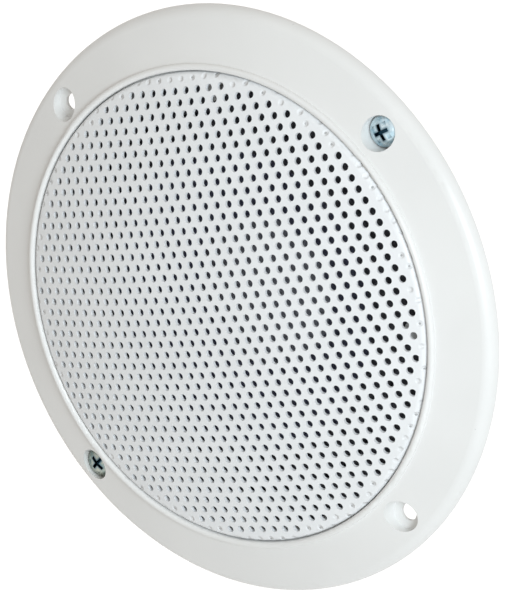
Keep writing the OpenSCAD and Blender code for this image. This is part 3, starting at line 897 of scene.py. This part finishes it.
class FinishTerminals(bpy.types.Operator):
    """Finish the terminal board, its rivets and its terminals"""
    bl_idname = "loudspeaker.finish_terminals"
    bl_label = "Terminals"

    def execute(self, context):
        colours = context.scene.loudspeaker_finishes
        wear(["terminal_board"], paper_laminate(colours.laminate))
        wear(["terminal_positive", "board_rivets"], sheet_metal("stamped_brass", colours.brass))
        wear(["terminal_negative"], sheet_metal("tinned_brass", colours.tin))
        return {"FINISHED"}


# The stage

def area_lamp(name, place, target, size, power, colour):
    """A rectangular lamp at a place, turned towards a target."""
    light = bpy.data.lights.new(name, "AREA")
    light.shape = "RECTANGLE"
    light.size, light.size_y = size
    light.energy = power
    light.color = colour
    lamp = bpy.data.objects.new(name, light)
    bpy.context.collection.objects.link(lamp)
    lamp.location = place
    direction = Vector(target) - Vector(place)
    lamp.rotation_euler = direction.to_track_quat("-Z", "Y").to_euler()


def looked_at(tree):
    """1 where the camera, a reflection or a see-through surface looks, 0 for all other light."""
    path = tree.nodes.new("ShaderNodeLightPath")
    seen = path.outputs["Is Camera Ray"]
    for ray in ("Is Glossy Ray", "Is Transmission Ray"):
        either = tree.nodes.new("ShaderNodeMath")
        either.operation = "MAXIMUM"
        tree.links.new(seen, either.inputs[0])
        tree.links.new(path.outputs[ray], either.inputs[1])
        seen = either.outputs[0]
    return seen


class BuildStage(bpy.types.Operator):
    """Set the camera, the lamps, the white surroundings and the floor"""
    bl_idname = "loudspeaker.build_stage"
    bl_label = "Stage"

    def execute(self, context):
        scene = context.scene
        stage = scene.loudspeaker_stage
        scene.view_settings.view_transform = "Standard"
        self.camera(scene, stage)
        middle = (cad_low + cad_high) / 2
        area_lamp("key_lamp", KEY_PLACE, middle, KEY_SIZE, stage.key_power, KEY_COLOUR)
        area_lamp("fill_lamp", FILL_PLACE, middle, FILL_SIZE, stage.fill_power, FILL_COLOUR)
        self.surroundings(scene, stage)
        self.floor(stage)
        return {"FINISHED"}

    def camera(self, scene, stage):
        """The camera, at the place the picture was taken from."""
        lens = bpy.data.cameras.new("camera")
        lens.sensor_width = 36.0
        lens.lens = stage.lens
        lens.clip_start = 0.05
        lens.clip_end = 20.0
        camera = bpy.data.objects.new("camera", lens)
        scene.collection.objects.link(camera)
        camera.location = stage.camera_place
        camera.rotation_euler = stage.camera_turn
        scene.camera = camera

    def surroundings(self, scene, stage):
        """Soft light from all round, behind which the camera sees pure white."""
        world = bpy.data.worlds.new("surroundings")
        scene.world = world
        world.use_nodes = True
        tree = world.node_tree
        tree.nodes.clear()
        output = tree.nodes.new("ShaderNodeOutputWorld")
        mix = tree.nodes.new("ShaderNodeMixShader")
        tree.links.new(looked_at(tree), mix.inputs[0])
        for socket, colour, strength in ((mix.inputs[1], SKY_COLOUR, stage.sky),
                                         (mix.inputs[2], WHITE, 1.0)):
            light = tree.nodes.new("ShaderNodeBackground")
            light.inputs["Color"].default_value = colour
            light.inputs["Strength"].default_value = strength
            tree.links.new(light.outputs[0], socket)
        tree.links.new(mix.outputs[0], output.inputs["Surface"])

    def floor(self, stage):
        """A pale floor that takes shadows and, where it is looked at, glows up to white."""
        level = cad_low.z - stage.floor_drop
        corners = [(x * FLOOR_REACH, y * FLOOR_REACH, level)
                   for x, y in ((-1, -1), (1, -1), (1, 1), (-1, 1))]
        mesh = bpy.data.meshes.new("floor")
        mesh.from_pydata(corners, [], [(0, 1, 2, 3)])
        made = Finish("pale_floor", FLOOR_COLOUR, 0.7)
        made.tint(made.noise(80 * MM, 2.0), 0.98, 1.0)
        choose = made.node("ShaderNodeMixShader")
        made.link(looked_at(made.tree), choose.inputs[0])
        for socket, strength in ((choose.inputs[1], 0.0), (choose.inputs[2], FLOOR_GLOW)):
            glow = made.node("ShaderNodeEmission")
            glow.inputs["Strength"].default_value = strength
            made.link(glow.outputs[0], socket)
        both = made.node("ShaderNodeAddShader")
        made.link(made.shader.outputs[0], both.inputs[0])
        made.link(choose.outputs[0], both.inputs[1])
        made.link(both.outputs[0], made.output.inputs["Surface"])
        mesh.materials.append(made.material)
        floor = bpy.data.objects.new("floor", mesh)
        bpy.context.scene.collection.objects.link(floor)
        return floor


class LoudspeakerPanel(bpy.types.Panel):
    """The loudspeaker's steps and settings"""
    bl_idname = "VIEW3D_PT_loudspeaker"
    bl_label = "Loudspeaker"
    bl_space_type = "VIEW_3D"
    bl_region_type = "UI"
    bl_category = "Loudspeaker"

    def draw(self, context):
        """One button for each operator, and every setting below them"""
        layout = self.layout
        for operator in OPERATORS:
            layout.operator(operator.bl_idname)
        scene = context.scene
        for group in (scene.loudspeaker_finishes, scene.loudspeaker_sizes, scene.loudspeaker_stage):
            box = layout.box()
            for key in group.__annotations__:
                box.prop(group, key)


OPERATORS = (
    FinishBezel, FinishGrille, FinishScrews, FinishCone, FinishMotor, FinishTerminals,
    BuildSurround, BuildSpider, BuildLeads, BuildStage,
)
GROUPS = (LoudspeakerFinishes, LoudspeakerSizes, LoudspeakerStage)


def register():
    """Adds the settings, the operators and the panel."""
    for made in (*GROUPS, *OPERATORS, LoudspeakerPanel):
        bpy.utils.register_class(made)
    bpy.types.Scene.loudspeaker_finishes = bpy.props.PointerProperty(type=LoudspeakerFinishes)
    bpy.types.Scene.loudspeaker_sizes = bpy.props.PointerProperty(type=LoudspeakerSizes)
    bpy.types.Scene.loudspeaker_stage = bpy.props.PointerProperty(type=LoudspeakerStage)


def unregister():
    """Takes away what register() added."""
    del bpy.types.Scene.loudspeaker_stage
    del bpy.types.Scene.loudspeaker_sizes
    del bpy.types.Scene.loudspeaker_finishes
    for made in (LoudspeakerPanel, *reversed(OPERATORS), *reversed(GROUPS)):
        bpy.utils.unregister_class(made)


def main():
    """Runs every operator in turn."""
    register()
    for operator in OPERATORS:
        group, name = operator.bl_idname.split(".")
        getattr(getattr(bpy.ops, group), name)()


if __name__ == "__main__":
    main()
